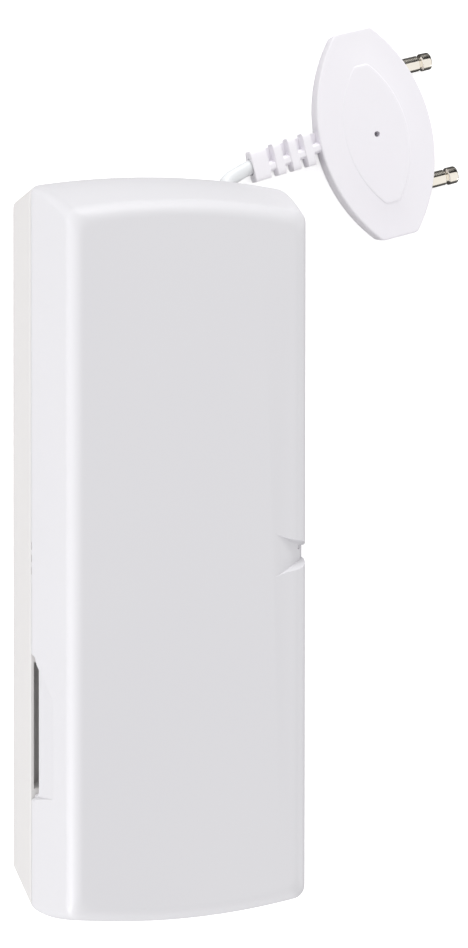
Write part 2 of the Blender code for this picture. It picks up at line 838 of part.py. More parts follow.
def make_probe():
    rings = [lens_ring(probe_length, probe_width, probe_end_width, back_edge_radius / 2, 0.0),
             lens_ring(probe_length, probe_width, probe_end_width, 0.0, back_edge_radius / 2)]
    for step in range(edge_steps + 1):
        angle = math.pi / 2 * step / edge_steps
        rings.append(lens_ring(probe_length, probe_width, probe_end_width,
                               probe_edge_radius * (1 - math.cos(angle)),
                               probe_face - probe_edge_radius * (1 - math.sin(angle))))
    plate = loft("probe_body", rings, white_probe)
    pad = loft("probe_pad", [
        lens_ring(pad_length, pad_width, pad_end_width, 0.0, probe_face - union_overlap),
        lens_ring(pad_length, pad_width, pad_end_width, 0.0, probe_face),
        lens_ring(pad_length, pad_width, pad_end_width, pad_slope, probe_thickness)])
    vent = cylinder("probe_vent", vent_radius, vent_depth + cut_margin,
                    (0.0, 0.0, probe_thickness + (cut_margin - vent_depth) / 2), sides=16)
    join(plate, pad)
    collar_start = join_strain_relief(plate)
    cut(plate, vent)
    on_probe(pad)
    on_probe(vent)
    on_probe(plate)

    for number, side in enumerate((1, -1)):
        y = side * pin_spacing / 2
        edge = probe_edge_reach(pin_spacing / 2)
        seat = edge - pin_seat_depth
        shoulder = seat + seat_gap / 2
        tip = edge + pin_tip_reach
        groove = tip - pin_head_length
        profile = [
            (0.0, tip),
            (pin_head_radius - pin_tip_edge, tip),
            (pin_head_radius, tip - pin_tip_edge),
            (pin_head_radius, groove),
            (pin_groove_radius, groove - pin_groove_width / 2),
            (pin_radius, groove - pin_groove_width),
            (pin_radius, shoulder),
            (pin_shank_radius, shoulder),
            (pin_shank_radius, shoulder - pin_shank_length),
            (0.0, shoulder - pin_shank_length),
        ]
        pin = turned("probe_pin_" + str(number + 1), profile, nickel)
        pin.rotation_euler = axis_turn("X")
        pin.location = (0.0, y, probe_middle)
        on_probe(pin)
        pocket_length = pin_radius * 4
        pocket = cylinder("pin_seat_" + str(number + 1), pin_radius + pin_side_gap, pocket_length,
                          (seat + pocket_length / 2, y, probe_middle), axis="X")
        bore_length = pin_shank_length + seat_gap + cut_margin
        bore = cylinder("pin_bore_" + str(number + 1), pin_shank_radius + seat_gap / 2,
                        bore_length, (seat + cut_margin - bore_length / 2, y, probe_middle),
                        axis="X")
        on_probe(pocket)
        on_probe(bore)
        cut(plate, pocket, bore)
    smooth(plate)
    return collar_start


def join_strain_relief(plate):
    """Add the ladder of rings that the lead comes in by, and give the place where it starts."""
    last = union_overlap - probe_edge_reach(0.0)
    ring_start = last - union_overlap - relief_gap - relief_ring_length
    first_ring = ring_start - (relief_ring_count - 1) * relief_ring_pitch
    collar_stop = first_ring - (relief_ring_pitch - relief_ring_length)
    collar_start = collar_stop - relief_collar_length
    core_start = collar_start + relief_collar_length / 2
    root = last + probe_edge_radius
    tools = [box("relief_core", (root - core_start, relief_core_height, relief_core_thickness),
                 ((root + core_start) / 2, relief_shift, probe_middle)),
             box("relief_collar", (relief_collar_length, relief_collar_height, probe_thickness),
                 (collar_start + relief_collar_length / 2, relief_shift, probe_middle),
                 edge=relief_edge)]
    for number in range(relief_ring_count):
        share = number / (relief_ring_count - 1)
        height = relief_first_height + (relief_last_height - relief_first_height) * share
        x = first_ring + number * relief_ring_pitch + relief_ring_length / 2
        tools.append(box("relief_ring_" + str(number + 1),
                         (relief_ring_length, height, probe_thickness),
                         (x, relief_shift, probe_middle), edge=relief_edge))
    rib_start = collar_start + relief_collar_length / 2
    tools.append(box("relief_rib", (root - rib_start, relief_rib_width,
                                    probe_thickness - 2 * relief_edge),
                     ((root + rib_start) / 2, relief_shift, probe_middle)))
    for tool in tools:
        on_probe(tool)
        join(plate, tool)
    socket = cylinder("lead_socket", lead_radius + lead_socket_gap,
                      lead_socket_depth + cut_margin,
                      (collar_start + (lead_socket_depth - cut_margin) / 2, relief_shift,
                       probe_middle),
                      axis="X")
    on_probe(socket)
    cut(plate, socket)
    return collar_start


def make_lead(collar_start):
    """The lead: from its cores at the terminals, out of the base's end wall, to the collar."""
    aside = probe_centre + probe_across * relief_shift
    end = aside + probe_along * (collar_start + lead_socket_depth - seat_gap)
    before = aside + probe_along * (collar_start - seat_gap)
    wall_y = outlet_wall_y()
    mouth = terminal_place_y + terminal_length / 2
    inside = board_top_end - mouth
    start_y = mouth + lead_start_share * inside
    over_board = board_top + lead_lift * lead_radius
    turn_x = terminal_place_x + (lead_outlet_x - terminal_place_x) * lead_turn_share / 2
    route = [
        Vector((terminal_place_x, start_y, wire_height)),
        Vector((terminal_place_x, mouth + lead_level_share * inside, wire_height)),
        Vector((turn_x, mouth + lead_turn_share * inside, (wire_height + over_board) / 2)),
        Vector((lead_outlet_x - lead_radius, board_top_end, over_board)),
        Vector((lead_outlet_x, wall_y - wall, outlet_height)),
        Vector((lead_outlet_x, wall_y, outlet_height)),
        Vector((lead_outlet_x + outlet_side, wall_y + outlet_reach, outlet_height - outlet_drop)),
        Vector((before.x, before.y, probe_middle)),
        Vector((end.x, end.y, probe_middle)),
    ]
    lead = tube("lead", smooth_path(route, lead_point_spacing), lead_radius, white_lead)
    for side in (-1, 1):
        x = terminal_wire_x(side)
        jacket_x = terminal_place_x + side * core_wire_radius * 1.2
        wire = [
            Vector((x, mouth - terminal_bore_depth + seat_gap, wire_height)),
            Vector((x, mouth + 1.0 * mm, wire_height)),
            Vector((jacket_x, start_y - 1.2 * mm, wire_height)),
            Vector((jacket_x, start_y - seat_gap, wire_height)),
        ]
        name = "lead_core_" + ("left" if side < 0 else "right")
        tube(name, smooth_path(wire, lead_point_spacing / 2), core_wire_radius,
             core_red if side < 0 else core_blue, resolution=1)
    return lead


clear_scene()
part_collection = new_collection("water_leak_sensor")
cutter_collection = new_collection("cutters")
probe_frame = (Matrix.Translation((probe_centre.x, probe_centre.y, 0.0))
               @ Matrix.Rotation(probe_turn, 4, "Z"))

white_case = new_material("white_case", (0.80, 0.80, 0.81), 0.45)
white_base = new_material("white_base", (0.80, 0.80, 0.80), 0.50)
white_probe = new_material("white_probe", (0.84, 0.84, 0.86), 0.45)
white_lead = new_material("white_lead", (0.80, 0.81, 0.82), 0.45)
nickel = new_material("nickel", (0.72, 0.70, 0.66), 0.12, 1.0)
steel = new_material("steel", (0.60, 0.60, 0.62), 0.30, 1.0)
plated = new_material("plated", (0.75, 0.75, 0.76), 0.25, 1.0)
green_board = new_material("green_board", (0.03, 0.20, 0.08), 0.40)
green_plastic = new_material("green_plastic", (0.05, 0.30, 0.15), 0.50)
black_plastic = new_material("black_plastic", (0.03, 0.03, 0.03), 0.50)
cell_sleeve = new_material("cell_sleeve", (0.10, 0.25, 0.12), 0.35)
red_lens = new_material("red_lens", (0.60, 0.03, 0.03), 0.15)
core_red = new_material("core_red", (0.50, 0.03, 0.03), 0.50)
core_blue = new_material("core_blue", (0.03, 0.08, 0.45), 0.50)

make_rear_base()
make_front_cover()
make_board()
make_cell()
make_terminals()
make_board_parts()
make_lead(make_probe())
bpy.context.view_layer.update()
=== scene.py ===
import math

import bmesh
import bpy
import numpy as np
from mathutils import Matrix, Vector


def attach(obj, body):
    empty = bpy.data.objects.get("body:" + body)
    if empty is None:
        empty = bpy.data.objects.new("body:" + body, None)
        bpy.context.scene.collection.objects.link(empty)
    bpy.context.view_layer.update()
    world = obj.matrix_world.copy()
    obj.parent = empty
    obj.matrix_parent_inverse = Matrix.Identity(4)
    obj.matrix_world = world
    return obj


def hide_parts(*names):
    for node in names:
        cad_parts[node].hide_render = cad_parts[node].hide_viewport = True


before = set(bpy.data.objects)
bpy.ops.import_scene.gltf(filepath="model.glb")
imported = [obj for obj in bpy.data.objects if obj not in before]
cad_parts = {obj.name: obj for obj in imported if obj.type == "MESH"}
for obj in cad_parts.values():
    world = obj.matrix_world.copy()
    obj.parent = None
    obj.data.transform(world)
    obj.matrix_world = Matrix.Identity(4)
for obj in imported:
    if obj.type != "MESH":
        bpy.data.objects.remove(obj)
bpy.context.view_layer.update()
scene = bpy.context.scene
mm = 0.001
print("frame loaded")

# The camera, worked out from the corners of the case in the photograph
cameraView = {
    "place": (-48.62, 28.86, 205.63),   # mm
    "pan": 16.471,                      # degrees to the right
    "tilt": 0.923,                      # degrees down
    "roll": 0.068,
    "focalPixels": 1823.6,
    "shift": (-5.8, -161.6),            # pixels; its upright lines stay parallel in the picture
    "imageHeight": 948,
    "sensorHeight": 24.0,
}


def makeCamera(spec):
    pan, tilt, roll = (math.radians(spec[key]) for key in ("pan", "tilt", "roll"))
    forward = Vector((math.sin(pan) * math.cos(tilt), -math.sin(tilt),
                      -math.cos(pan) * math.cos(tilt)))
    right = Vector((math.cos(pan), 0.0, math.sin(pan)))
    up = right.cross(forward)
    rightRolled = math.cos(roll) * right + math.sin(roll) * up
    upRolled = math.cos(roll) * up - math.sin(roll) * right
    turn = Matrix((rightRolled, upRolled, -forward)).transposed().to_4x4()
    data = bpy.data.cameras.new("camera")
    data.sensor_fit = "VERTICAL"
    data.sensor_height = spec["sensorHeight"]
    data.lens = spec["focalPixels"] / spec["imageHeight"] * spec["sensorHeight"]
    data.shift_x, data.shift_y = (value / spec["imageHeight"] for value in spec["shift"])
    data.clip_start = 0.005
    camera = bpy.data.objects.new("camera", data)
    camera.matrix_world = Matrix.Translation(Vector(spec["place"]) * mm) @ turn
    scene.collection.objects.link(camera)
    scene.camera = camera


makeCamera(cameraView)


def linearColour(code):
    values = [int(code[index:index + 2], 16) / 255 for index in (1, 3, 5)]
    return tuple(v / 12.92 if v <= 0.04045 else ((v + 0.055) / 1.055) ** 2.4
                 for v in values) + (1.0,)


# Adds one node, sets its options and socket values, and joins its inputs
def addNode(tree, kind, values=None, links=None, **settings):
    node = tree.nodes.new(kind)
    for key, value in settings.items():
        setattr(node, key, value)
    for key, value in (values or {}).items():
        node.inputs[key].default_value = value
    for key, socket in (links or {}).items():
        tree.links.new(socket, node.inputs[key])
    return node


# A surface material: base colour varied a little by broad noise, roughness by finer noise,
# and a bump from grain of a real size. Sizes are in millimetres
def surfaceMaterial(name, spec):
    material = bpy.data.materials.new(name)
    material.use_nodes = True
    tree = material.node_tree
    tree.nodes.clear()
    place = addNode(tree, "ShaderNodeTexCoord").outputs["Object"]
    broad = addNode(tree, "ShaderNodeTexNoise", {"Scale": 1000 / spec["patchSize"], "Detail": 2.0},
                    {"Vector": place}).outputs["Fac"]
    colour = addNode(tree, "ShaderNodeMix", {6: linearColour(spec["colour"]),
                                             7: linearColour(spec["otherColour"])},
                     {0: broad}, data_type="RGBA").outputs[2]
    fine = addNode(tree, "ShaderNodeTexNoise", {"Scale": 1000 / spec["grainSize"], "Detail": 3.0},
                   {"Vector": place}).outputs["Fac"]
    low, high = spec["roughness"]
    rough = addNode(tree, "ShaderNodeMapRange", {"To Min": low, "To Max": high},
                    {"Value": fine}).outputs["Result"]
    bump = addNode(tree, "ShaderNodeBump", {"Strength": spec["bump"],
                                            "Distance": spec["grainDepth"] * mm},
                   {"Height": fine}).outputs["Normal"]
    values = {"Metallic": spec.get("metallic", 0.0)}
    if "ior" in spec:
        values["IOR"] = spec["ior"]
    shader = addNode(tree, "ShaderNodeBsdfPrincipled", values,
                     {"Base Color": colour, "Roughness": rough, "Normal": bump})
    addNode(tree, "ShaderNodeOutputMaterial", links={"Surface": shader.outputs[0]})
    return material


# Injection-moulded ABS with a fine spark-eroded texture: an even, soft, slightly cool white
coverPlastic = surfaceMaterial("mouldedAbsCover", {
    "colour": "#d5d4d8", "otherColour": "#d9d8db", "patchSize": 30, "grainSize": 0.35,
    "roughness": (0.42, 0.52), "bump": 0.10, "grainDepth": 0.02, "ior": 1.53})
# The same plastic, a shade warmer and less polished on the rear half
basePlastic = surfaceMaterial("mouldedAbsBase", {
    "colour": "#d4d2d2", "otherColour": "#d8d6d5", "patchSize": 26, "grainSize": 0.35,
    "roughness": (0.48, 0.58), "bump": 0.12, "grainDepth": 0.02, "ior": 1.53})
# Soft PVC moulded over the lead and the pins: smooth, whiter, with a faint lilac cast
probePlastic = surfaceMaterial("overmouldedPvcProbe", {
    "colour": "#efecf2", "otherColour": "#f2f0f4", "patchSize": 12, "grainSize": 0.5,
    "roughness": (0.38, 0.48), "bump": 0.06, "grainDepth": 0.02, "ior": 1.53})
# Extruded PVC jacket: smooth with faint drawn unevenness
leadPlastic = surfaceMaterial("extrudedPvcJacket", {
    "colour": "#e0e2e4", "otherColour": "#e6e8ea", "patchSize": 3, "grainSize": 0.6,
    "roughness": (0.34, 0.44), "bump": 0.08, "grainDepth": 0.03, "ior": 1.53})
# Turned brass, nickel plated and polished: a clear mirror with a warm tint
nickelPlate = surfaceMaterial("polishedNickelPlate", {
    "colour": "#efe8da", "otherColour": "#f6f0e6", "patchSize": 1.5, "grainSize": 0.15,
    "roughness": (0.10, 0.18), "bump": 0.03, "grainDepth": 0.005, "metallic": 1.0})
print("camera and visible materials made")


# Pieces hidden inside the case keep their CAD shapes and get the finish of the real parts
innerFinishes = {
    # Green, half glossy lacquer over faintly uneven laminate
    "circuit_board": ("solderMaskOnGlassEpoxy", {
        "colour": "#1f5a34", "otherColour": "#2a6b40", "patchSize": 5, "grainSize": 0.6,
        "roughness": (0.28, 0.42), "bump": 0.2, "grainDepth": 0.03, "ior": 1.5}),
    # Dark green film, drawn tight and shiny
    "battery": ("shrunkPvcSleeve", {
        "colour": "#2f6b45", "otherColour": "#3a7a50", "patchSize": 8, "grainSize": 0.5,
        "roughness": (0.25, 0.35), "bump": 0.1, "grainDepth": 0.02, "ior": 1.53}),
    # Mid green, dull moulded plastic
    "terminal_block": ("mouldedPolyamideGreen", {
        "colour": "#2c8a55", "otherColour": "#359660", "patchSize": 4, "grainSize": 0.3,
        "roughness": (0.45, 0.55), "bump": 0.15, "grainDepth": 0.02, "ior": 1.53}),
    # Clear red resin, almost a mirror
    "indicator_lamp": ("castEpoxyRed", {
        "colour": "#b01818", "otherColour": "#c02222", "patchSize": 3, "grainSize": 0.4,
        "roughness": (0.08, 0.14), "bump": 0.04, "grainDepth": 0.01, "ior": 1.54}),
    # Dull red and blue insulation, smooth along its length
    "lead_core_left": ("extrudedPvcRed", {
        "colour": "#a01c1c", "otherColour": "#aa2626", "patchSize": 2, "grainSize": 0.3,
        "roughness": (0.40, 0.50), "bump": 0.1, "grainDepth": 0.01, "ior": 1.53}),
    "lead_core_right": ("extrudedPvcBlue", {
        "colour": "#1c3c96", "otherColour": "#2646a0", "patchSize": 2, "grainSize": 0.3,
        "roughness": (0.40, 0.50), "bump": 0.1, "grainDepth": 0.01, "ior": 1.53}),
}
# Near black and dull, with a fine grain
blackPlastic = ("mouldedPhenolicBlack", {
    "colour": "#1c1c1e", "otherColour": "#262628", "patchSize": 4, "grainSize": 0.25,
    "roughness": (0.45, 0.60), "bump": 0.2, "grainDepth": 0.02, "ior": 1.55})
# Pale grey metal with soft, blurred reflections
tinPlate = ("tinPlatedSteel", {
    "colour": "#b9babc", "otherColour": "#c6c7c9", "patchSize": 3, "grainSize": 0.2,
    "roughness": (0.22, 0.34), "bump": 0.08, "grainDepth": 0.005, "metallic": 1.0})
blackPieces = ("battery_cradle", "controller_chip", "tamper_switch", "capacitor")
tinPieces = ("board_screw_1", "board_screw_2", "negative_contact", "positive_contact",
             "contact_spring", "terminal_screw_left", "terminal_screw_right", "radio_module",
             "crystal_can", "aerial_coil")
innerFinishes.update(dict.fromkeys(blackPieces, blackPlastic))
innerFinishes.update(dict.fromkeys(tinPieces, tinPlate))
madeFinishes = {}
for name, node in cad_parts.items():
    if name in innerFinishes:
        title, spec = innerFinishes[name]
        if title not in madeFinishes:
            madeFinishes[title] = surfaceMaterial(title, spec)
        node.data.materials.clear()
        node.data.materials.append(madeFinishes[title])
print("inner pieces finished")


# A mesh from points and faces, its normals turned outwards, smooth except at real edges
def makePiece(name, points, faces, material=None, sharp=35.0):
    mesh = bpy.data.meshes.new(name)
    mesh.from_pydata(points.tolist(), [], faces)
    shape = bmesh.new()
    shape.from_mesh(mesh)
    bmesh.ops.recalc_face_normals(shape, faces=shape.faces)
    shape.to_mesh(mesh)
    shape.free()
    piece = bpy.data.objects.new(name, mesh)
    scene.collection.objects.link(piece)
    if material:
        mesh.materials.append(material)
        mesh.shade_smooth()
        mesh.set_sharp_from_angle(angle=math.radians(sharp))
    return piece


# Rings are an array (row, point, xyz) in mm: quads join each row to the next, and one flat
# face closes each end
def skin(name, rings, material=None, sharp=35.0):
    rows, count = rings.shape[:2]
    index = np.arange(rows * count).reshape(rows, count)
    after = np.roll(index, -1, axis=1)
    quads = np.stack((index[:-1], after[:-1], after[1:], index[1:]), axis=-1).reshape(-1, 4)
    faces = quads.tolist() + [index[0].tolist(), index[-1].tolist()]
    return makePiece(name, rings.reshape(-1, 3) * mm, faces, material, sharp)


# Cuts the cutters from the piece, or joins them to it, and removes them
def applyBooleans(piece, cutters, operation="DIFFERENCE"):
    for cutter in cutters:
        boolean = piece.modifiers.new("cut", "BOOLEAN")
        boolean.operation = operation
        boolean.solver = "EXACT"
        boolean.object = cutter
    bpy.context.view_layer.update()
    graph = bpy.context.evaluated_depsgraph_get()
    finished = bpy.data.meshes.new_from_object(piece.evaluated_get(graph))
    piece.modifiers.clear()
    piece.data = finished
    for cutter in cutters:
        bpy.data.objects.remove(cutter)


def shadeAgain(piece, sharp):
    piece.data.shade_smooth()
    piece.data.set_sharp_from_angle(angle=math.radians(sharp))


# The case: straight sides, arched ends and round upright corners, drawn in with height
caseSizes = {
    "width": 28.8, "length": 81.0, "depth": 23.4, "seam": 10.0,
    "frontInSide": 1.65, "frontInEnd": 3.36, "frontCurve": 1.4,
    "backInSide": -0.26, "backInEnd": 1.24, "backCurve": 1.0,
    "arch": 1.19, "frontArch": 1.12, "backArch": 1.15,
    "corner": 1.0, "frontCorner": 1.4, "backCorner": 0.94, "wall": 1.8, "seamGap": 0.3,
    "frontEdge": 1.4, "backEdge": 0.25, "seamEdge": 0.12, "innerEdge": 0.9, "capInset": 0.4,
    "tongueHeight": 1.6, "tongueThickness": 0.8, "clearance": 0.3,
    "screwHoleFromEnd": 11.5, "screwHoleRadius": 2.0,
    "outletPlace": (10.1, 2.95), "outletRadius": 1.15, "outletSpan": (34, 42),
    "cornerSteps": 10, "archSteps": 40, "sideSteps": 24, "edgeSteps": 18,
}


# Rings of the case at each height and inset. Each end is one arc through both corners that
# bulges by the arch; each corner is an arc tangent to it and to the side. The ends curve over
# towards the front, their inset growing as a power of the height above the seam
def caseRings(heights, insets, spec, lower=False):
    z = np.asarray(heights, float)
    if lower:
        toward, share = "back", np.maximum(1 - z / spec["seam"], 0)
    else:
        toward = "front"
        share = np.maximum(z - spec["seam"], 0) / (spec["depth"] - spec["seam"])
    inSide = spec[toward + "InSide"] * share
    inEnd = spec[toward + "InEnd"] * share ** spec[toward + "Curve"]
    halfWidth = (spec["width"] / 2 - inSide - insets)[:, None]
    halfLength = (spec["length"] / 2 - inEnd - insets)[:, None]
    arch = (spec["arch"] + (spec[toward + "Arch"] - spec["arch"]) * share)[:, None]
    corner = (spec["corner"] + (spec[toward + "Corner"] - spec["corner"]) * share)[:, None]
    archRadius = (halfWidth ** 2 + arch ** 2) / (2 * arch)
    archCentre = halfLength - archRadius
    cornerX = halfWidth - corner
    cornerY = archCentre + np.sqrt((archRadius - corner) ** 2 - cornerX ** 2)
    turn = np.arctan2(cornerY - archCentre, cornerX)
    angle = turn * np.linspace(0, 1, spec["cornerSteps"] + 1)
    cornerPoints = np.stack((cornerX + corner * np.cos(angle),
                             cornerY + corner * np.sin(angle)), axis=-1)
    angle = turn + (math.pi - 2 * turn) * np.linspace(0, 1, spec["archSteps"] + 1)[1:-1]
    archPoints = np.stack((archRadius * np.cos(angle),
                           archCentre + archRadius * np.sin(angle)), axis=-1)
    mirrored = cornerPoints[:, ::-1] * (-1, 1)
    step = np.linspace(1, -1, spec["sideSteps"] + 1)[1:-1]
    side = np.stack((-halfWidth + 0 * step, cornerY * step), axis=-1)
    half = np.concatenate((cornerPoints, archPoints, mirrored, side), axis=1)
    flat = np.concatenate((half, -half), axis=1)
    return np.concatenate((flat, np.broadcast_to(z[:, None, None], flat.shape[:2] + (1,))),
                          axis=-1)


# Heights and insets of a quarter round from one wall into a flat face
def quarterRound(start, radius, steps, inset=0.0, upwards=True):
    angle = np.linspace(0, math.pi / 2, steps + 1)
    rise = radius * (1 - np.sin(angle)) * (1 if upwards else -1)
    return start - rise, inset + radius * (1 - np.cos(angle))


# Joins stretches of a profile, each a pair of heights and insets, into one
def joinProfile(*pieces):
    return (np.concatenate([np.atleast_1d(piece[0]) for piece in pieces]),
            np.concatenate([np.atleast_1d(piece[1]) for piece in pieces]))


# A cutter between sections, each a list of corners (x, y, z) in mm
def cutter(name, sections):
    return skin(name, np.array(sections, float))


def boxCutter(name, low, high):
    (x0, y0, z0), (x1, y1, z1) = low, high
    return cutter(name, [[(x, y0, z0), (x, y1, z0), (x, y1, z1), (x, y0, z1)]
                         for x in (x0, x1)])


# A round cutter along one axis (0, 1 or 2 for X, Y or Z), its centre given across that axis
def roundCutter(name, centre, radius, span, axis):
    angle = np.linspace(0, 2 * math.pi, 25)[:-1]
    ring = np.array(centre) + radius * np.stack((np.cos(angle), np.sin(angle)), axis=1)
    return skin(name, np.stack([np.insert(ring, axis, place, axis=1) for place in span]))


slotShape = {
    "place": -19.3, "length": 15.4, "height": 1.75, "chamfer": 0.8, "flare": 0.8,
    "pocketSkin": 0.35, "pocketDraft": 0.15, "pocketDepth": 3.0, "pocketBack": 0.3,
    "surroundRise": 8.0, "surroundDepth": 0.35, "surroundMargin": 0.7, "surroundSlant": 2.5,
}
scoopShape = {
    "place": 0.25, "reach": 3.6, "wide": 4.6, "narrow": 1.2, "depth": 1.9, "curve": 1.7,
    "bank": 0.5, "bite": 0.3, "biteDrop": 3.2, "biteGap": 0.15,
    "cornerBite": 0.62, "cornerWidth": 0.4,
}
slitShape = {
    "count": 3, "length": 0.8, "pitch": 1.35, "height": 0.5, "place": -1.0, "depth": 0.6,
}


# The slot in the left wall: sections through the wall, wider where its lip is rounded and
# closing in behind it
def slotSections(spec, shape):
    left = -spec["width"] / 2
    low, top = spec["seam"] - 1, spec["seam"] + shape["height"]
    lean = spec["frontInSide"] / (spec["depth"] - spec["seam"])
    sections = []
    for x, lip in ((-1.0, 0.9), (-0.1, 0.45), (0.0, 0.30), (0.12, 0.14), (0.3, 0.04), (0.5, 0.0),
                   (2.8, 0.0)):
        closing = shape["flare"] * max(x, 0.0) / spec["wall"] - lip
        near = shape["place"] + shape["length"] / 2 - closing
        far = shape["place"] - shape["length"] / 2 + closing
        high = top + lip
        cut = shape["chamfer"]
        sections.append([
            (left + x + lean * (height - spec["seam"]), y, height)
            for y, height in ((far, low), (far, high - cut), (far + cut, high), (near - cut, high),
                              (near, high - cut), (near, low))])
    return sections


# The sloped surround and slot on the left, the scoop and bite on the right, and the slits
def coverCutters(spec):
    left = -spec["width"] / 2
    shape = slotShape
    lean = spec["frontInSide"] / (spec["depth"] - spec["seam"])
    far = shape["place"] - shape["length"] / 2 - shape["surroundMargin"]
    near = shape["place"] + shape["length"] / 2 + shape["surroundMargin"]
    rise = shape["surroundRise"]
    low = spec["seam"] - 1
    deep = shape["surroundDepth"] * (1 + 1 / rise)
    slant = shape["surroundSlant"]
    surround = cutter("surround", [
        [(left + deep, far + deep, low),
         (left + lean * rise, far + slant, low + 1 + rise),
         (left + lean * rise, near - rise / 2, low + 1 + rise),
         (left + deep, near - deep, low)],
        [(left - 1, far - 1, low),
         (left - 1, far + slant - 1, low + 1 + rise),
         (left - 1, near - rise / 2 + 1, low + 1 + rise),
         (left - 1, near + 1, low)]])
    slot = cutter("slot", slotSections(spec, shape))

    shape = scoopShape
    edge = spec["width"] / 2 - spec["frontInSide"]
    top = spec["depth"]
    sections = []
    for share in (0.0, 0.15, 0.3, 0.45, 0.6, 0.75, 0.88, 1.0, 1.3):
        floorHalf = (shape["narrow"] + (shape["wide"] - shape["narrow"]) * max(1 - share, 0)) / 2
        drop = shape["depth"] * share ** shape["curve"]
        bank = shape["bank"]
        x = edge - shape["reach"] * (1 - share)
        sections.append([(x, shape["place"] - floorHalf, top - drop),
                         (x, shape["place"] - floorHalf - bank * (drop + 1), top + 1),
                         (x, shape["place"] + floorHalf + bank * (drop + 1), top + 1),
                         (x, shape["place"] + floorHalf, top - drop)])
    scoop = cutter("scoop", sections)

    half = shape["narrow"] / 2 + shape["biteGap"]
    low = top - shape["biteDrop"]
    far = (edge + 1, shape["place"] + half, top + 1)
    bite = boxCutter("bite", (edge - shape["bite"], shape["place"] - half, low), far)
    corner = boxCutter("cornerBite", (edge - shape["cornerBite"],
                                      shape["place"] + half - shape["cornerWidth"], low), far)
    slits = []
    shape = slitShape
    for number in range(shape["count"]):
        y = shape["place"] + (number - (shape["count"] - 1) / 2) * shape["pitch"]
        slits.append(boxCutter("slit", (left - 1, y - shape["length"] / 2, spec["seam"]),
                               (left + shape["depth"], y + shape["length"] / 2,
                                spec["seam"] + shape["height"])))
    return [surround, slot, scoop, bite, corner] + slits


# The front half: from the inside, down over the lip, up the outer wall and over the front
def makeCover(spec):
    lip = spec["seam"] + spec["seamGap"] / 2
    lipInset = spec["wall"] - spec["tongueThickness"] - spec["clearance"]
    lap = spec["seam"] + spec["tongueHeight"] + spec["clearance"]
    top = spec["depth"]
    edge = quarterRound(lip, spec["seamEdge"], 3, upwards=False)
    inner = quarterRound(top - spec["wall"], spec["innerEdge"], 6, spec["wall"])
    heights, insets = joinProfile(
        (top - spec["wall"], spec["wall"] + spec["innerEdge"] + spec["capInset"]),
        (inner[0][::-1], inner[1][::-1]),
        ([lap, lap, lip], [spec["wall"], lipInset, lipInset]),
        (edge[0][::-1], edge[1][::-1]),
        (np.linspace(lip + 1, top - spec["frontEdge"] - 0.5, 14), np.zeros(14)),
        quarterRound(top, spec["frontEdge"], spec["edgeSteps"]),
        (top, spec["frontEdge"] + spec["capInset"]))
    cover = skin("frontCover", caseRings(heights, insets, spec), coverPlastic)
    applyBooleans(cover, coverCutters(spec))
    shadeAgain(cover, 30)
    return cover


# The rear half: from the back, up the outer wall, over the tongue and down the inside
def makeBase(spec):
    rim = spec["seam"] - spec["seamGap"] / 2
    tongueInset = spec["wall"] - spec["tongueThickness"]
    tongueTop = spec["seam"] + spec["tongueHeight"]
    under = quarterRound(0.0, spec["backEdge"], 8, upwards=False)
    edge = quarterRound(rim, spec["seamEdge"], 3)
    heights, insets = joinProfile(
        (0.0, spec["backEdge"] + spec["capInset"]),
        (under[0][::-1], under[1][::-1]),
        (np.linspace(1.5, rim - 1, 5), np.zeros(5)),
        edge,
        ([rim, tongueTop, tongueTop, rim, spec["wall"]],
         [tongueInset, tongueInset, spec["wall"], spec["wall"], spec["wall"]]))
    base = skin("rearBase", caseRings(heights, insets, spec, lower=True), basePlastic)
    shape = slotShape
    left = -spec["width"] / 2
    far = shape["place"] - shape["length"] / 2 + shape["flare"]
    near = shape["place"] + shape["length"] / 2 - shape["flare"]
    sections = []
    for height in (spec["seam"] - shape["pocketDepth"], spec["seam"], tongueTop + 1):
        x = left + shape["pocketSkin"] + shape["pocketDraft"] * max(spec["seam"] - height, 0)
        deep = left + spec["wall"] - shape["pocketBack"]
        sections.append([(x, far, height), (deep, far, height), (deep, near, height),
                         (x, near, height)])
    cutters = [cutter("pocket", sections)]
    for side in (1, -1):
        y = side * (spec["length"] / 2 - spec["screwHoleFromEnd"])
        cutters.append(roundCutter("hole", (0.0, y), spec["screwHoleRadius"],
                                   (-1, spec["wall"] + 1.2), 2))
    cutters.append(roundCutter("outlet", spec["outletPlace"], spec["outletRadius"],
                               spec["outletSpan"], 1))
    applyBooleans(base, cutters)
    shadeAgain(base, 30)
    return base


frontCover = makeCover(caseSizes)
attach(frontCover, "root")
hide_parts("front_cover")
rearBase = makeBase(caseSizes)
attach(rearBase, "root")
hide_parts("rear_base")
print("case made")


# The probe: a lens-shaped plate with a raised lens, on a ladder of rings round the lead
probeShape = {
    "centre": (28.35, 46.55), "turn": 14.4,
    "length": 25.0, "width": 14.25, "endWidth": 4.55, "thickness": 2.7,
    "edge": 0.22, "underEdge": 0.12, "draft": 0.12, "cornerRound": 0.28,
    "padLength": 16.6, "padWidth": 7.9, "padEndWidth": 1.7, "padRise": 0.16, "padBlend": 0.2,
    "padTilt": 0.8,
    "ventRadius": 0.34, "ventDepth": 1.4,
    "pinSpacing": 14.0, "ringCount": 240, "edgeSteps": 12,
}


